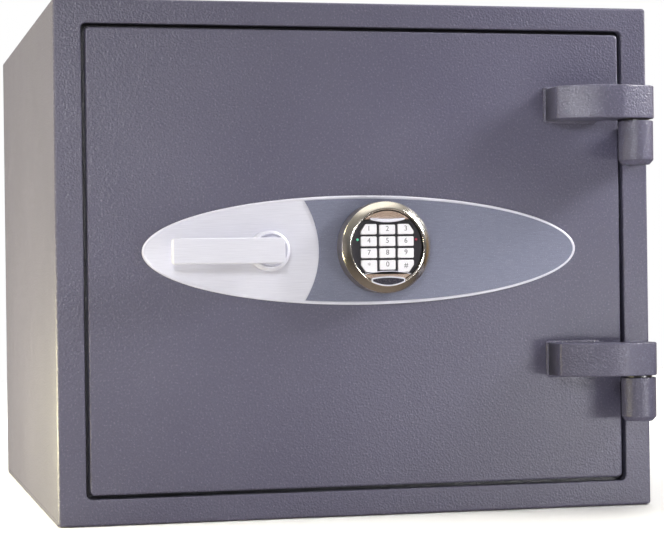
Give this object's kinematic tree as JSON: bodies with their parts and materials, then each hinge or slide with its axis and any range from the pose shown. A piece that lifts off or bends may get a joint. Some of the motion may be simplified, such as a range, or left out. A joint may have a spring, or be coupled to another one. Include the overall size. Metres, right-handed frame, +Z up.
{
  "type": "cabinet safe",
  "caption": "Free-standing steel cabinet safe with a thick external-hinged door, lever handle, round electronic keypad, bolt work and a lined cavity with a shelf.",
  "frame": {"origin": "centre of the body's underside, on the surface that the safe stands on", "axes": "+Z up; the door faces -Y; +X is towards the hinge side, to the right as seen from the front"},
  "size_m": [0.55, 0.572, 0.46],
  "materials": {
    "painted_steel": "fine textured two-tone grey-violet baked enamel, satin",
    "bare_steel": "machined, light oil sheen",
    "barrier_fill": "cast mineral composite, matte",
    "interior_paint": "smooth light grey powder coat, matte",
    "plug_rubber": "moulded, matte",
    "silver_trim": "satin silver",
    "blue_grey_trim": "satin metallic blue-grey",
    "keypad_chrome": "polished, slightly warm",
    "keypad_face": "moulded, fine matte",
    "key_caps": "moulded rubbery white",
    "led_green": "clear lens",
    "led_red": "clear lens"
  },
  "bodies": {
    "cabinet": {"front_frame": "painted_steel", "jamb_ring": "painted_steel", "outer_wrap": "painted_steel", "base_plate": "painted_steel", "back_plate": "painted_steel", "barrier_left": "barrier_fill", "barrier_right": "barrier_fill", "barrier_top": "barrier_fill", "barrier_bottom": "barrier_fill", "barrier_back": "barrier_fill", "inner_liner": "interior_paint", "shelf": "interior_paint", "shelf_bracket_left": "interior_paint", "shelf_bracket_right": "interior_paint", "anchor_plug_left": "plug_rubber", "anchor_plug_right": "plug_rubber", "hinge_knuckle_upper": "painted_steel", "hinge_knuckle_lower": "painted_steel", "hinge_pin_upper": "bare_steel", "hinge_pin_lower": "bare_steel", "hinge_washer_upper": "bare_steel", "hinge_washer_lower": "bare_steel"},
    "door": {"door_plate": "painted_steel", "hinge_arm_upper": "painted_steel", "hinge_arm_lower": "painted_steel", "door_barrier": "barrier_fill", "boltwork_case": "interior_paint", "boltwork_cover": "interior_paint", "dog_bolt_lower": "bare_steel", "dog_bolt_upper": "bare_steel", "lock_case": "bare_steel", "trim_plate": "silver_trim", "trim_insert": "blue_grey_trim", "handle_rosette": "silver_trim", "keypad_housing": "keypad_chrome", "keypad_face": "keypad_face", "keypad_visor": "keypad_chrome", "keypad_badge": "keypad_chrome", "led_green": "led_green", "led_red": "led_red"},
    "handle": {"handle_lever": "silver_trim", "handle_spindle": "bare_steel", "drive_crank": "bare_steel"},
    "boltwork": {"bolt_carriage": "bare_steel", "live_bolt_lower": "bare_steel", "live_bolt_middle": "bare_steel", "live_bolt_upper": "bare_steel"},
    "latch": {"lock_latch": "bare_steel"},
    "key_1_cap": {"key_1": "key_caps"},
    "key_2_cap": {"key_2": "key_caps"},
    "key_3_cap": {"key_3": "key_caps"},
    "key_4_cap": {"key_4": "key_caps"},
    "key_5_cap": {"key_5": "key_caps"},
    "key_6_cap": {"key_6": "key_caps"},
    "key_7_cap": {"key_7": "key_caps"},
    "key_8_cap": {"key_8": "key_caps"},
    "key_9_cap": {"key_9": "key_caps"},
    "key_clear_cap": {"key_clear": "key_caps"},
    "key_0_cap": {"key_0": "key_caps"},
    "key_enter_cap": {"key_enter": "key_caps"}
  },
  "joints": [
    {"name": "door_swing", "type": "hinge", "parent": "cabinet", "child": "door", "pos_m": [0.25, -0.293, 0.24], "axis": [0, 0, 1], "range_deg": [0, 180]},
    {"name": "handle_turn", "type": "hinge", "parent": "door", "child": "handle", "pos_m": [-0.087, -0.28, 0.2383], "axis": [0, -1, 0], "range_deg": [0, 75]},
    {"name": "bolt_slide", "type": "slide", "parent": "door", "child": "boltwork", "axis": [-1, 0, 0], "range_m": [0, 0.024]},
    {"name": "latch_slide", "type": "slide", "parent": "door", "child": "latch", "axis": [-1, 0, 0], "range_m": [0, 0.02]},
    {"name": "key_1_press", "type": "slide", "parent": "door", "child": "key_1_cap", "axis": [0, 1, 0], "range_m": [0, 0.0012], "stiffness_N_per_m": 1500},
    {"name": "key_2_press", "type": "slide", "parent": "door", "child": "key_2_cap", "axis": [0, 1, 0], "range_m": [0, 0.0012], "stiffness_N_per_m": 1500},
    {"name": "key_3_press", "type": "slide", "parent": "door", "child": "key_3_cap", "axis": [0, 1, 0], "range_m": [0, 0.0012], "stiffness_N_per_m": 1500},
    {"name": "key_4_press", "type": "slide", "parent": "door", "child": "key_4_cap", "axis": [0, 1, 0], "range_m": [0, 0.0012], "stiffness_N_per_m": 1500},
    {"name": "key_5_press", "type": "slide", "parent": "door", "child": "key_5_cap", "axis": [0, 1, 0], "range_m": [0, 0.0012], "stiffness_N_per_m": 1500},
    {"name": "key_6_press", "type": "slide", "parent": "door", "child": "key_6_cap", "axis": [0, 1, 0], "range_m": [0, 0.0012], "stiffness_N_per_m": 1500},
    {"name": "key_7_press", "type": "slide", "parent": "door", "child": "key_7_cap", "axis": [0, 1, 0], "range_m": [0, 0.0012], "stiffness_N_per_m": 1500},
    {"name": "key_8_press", "type": "slide", "parent": "door", "child": "key_8_cap", "axis": [0, 1, 0], "range_m": [0, 0.0012], "stiffness_N_per_m": 1500},
    {"name": "key_9_press", "type": "slide", "parent": "door", "child": "key_9_cap", "axis": [0, 1, 0], "range_m": [0, 0.0012], "stiffness_N_per_m": 1500},
    {"name": "key_clear_press", "type": "slide", "parent": "door", "child": "key_clear_cap", "axis": [0, 1, 0], "range_m": [0, 0.0012], "stiffness_N_per_m": 1500},
    {"name": "key_0_press", "type": "slide", "parent": "door", "child": "key_0_cap", "axis": [0, 1, 0], "range_m": [0, 0.0012], "stiffness_N_per_m": 1500},
    {"name": "key_enter_press", "type": "slide", "parent": "door", "child": "key_enter_cap", "axis": [0, 1, 0], "range_m": [0, 0.0012], "stiffness_N_per_m": 1500}
  ],
  "couplings": [
    {"joint": "bolt_slide", "follows": "handle_turn", "m_per_rad": 0.018334},
    {"joint": "latch_slide", "follows": "handle_turn", "m_per_rad": 0.015278}
  ]
}
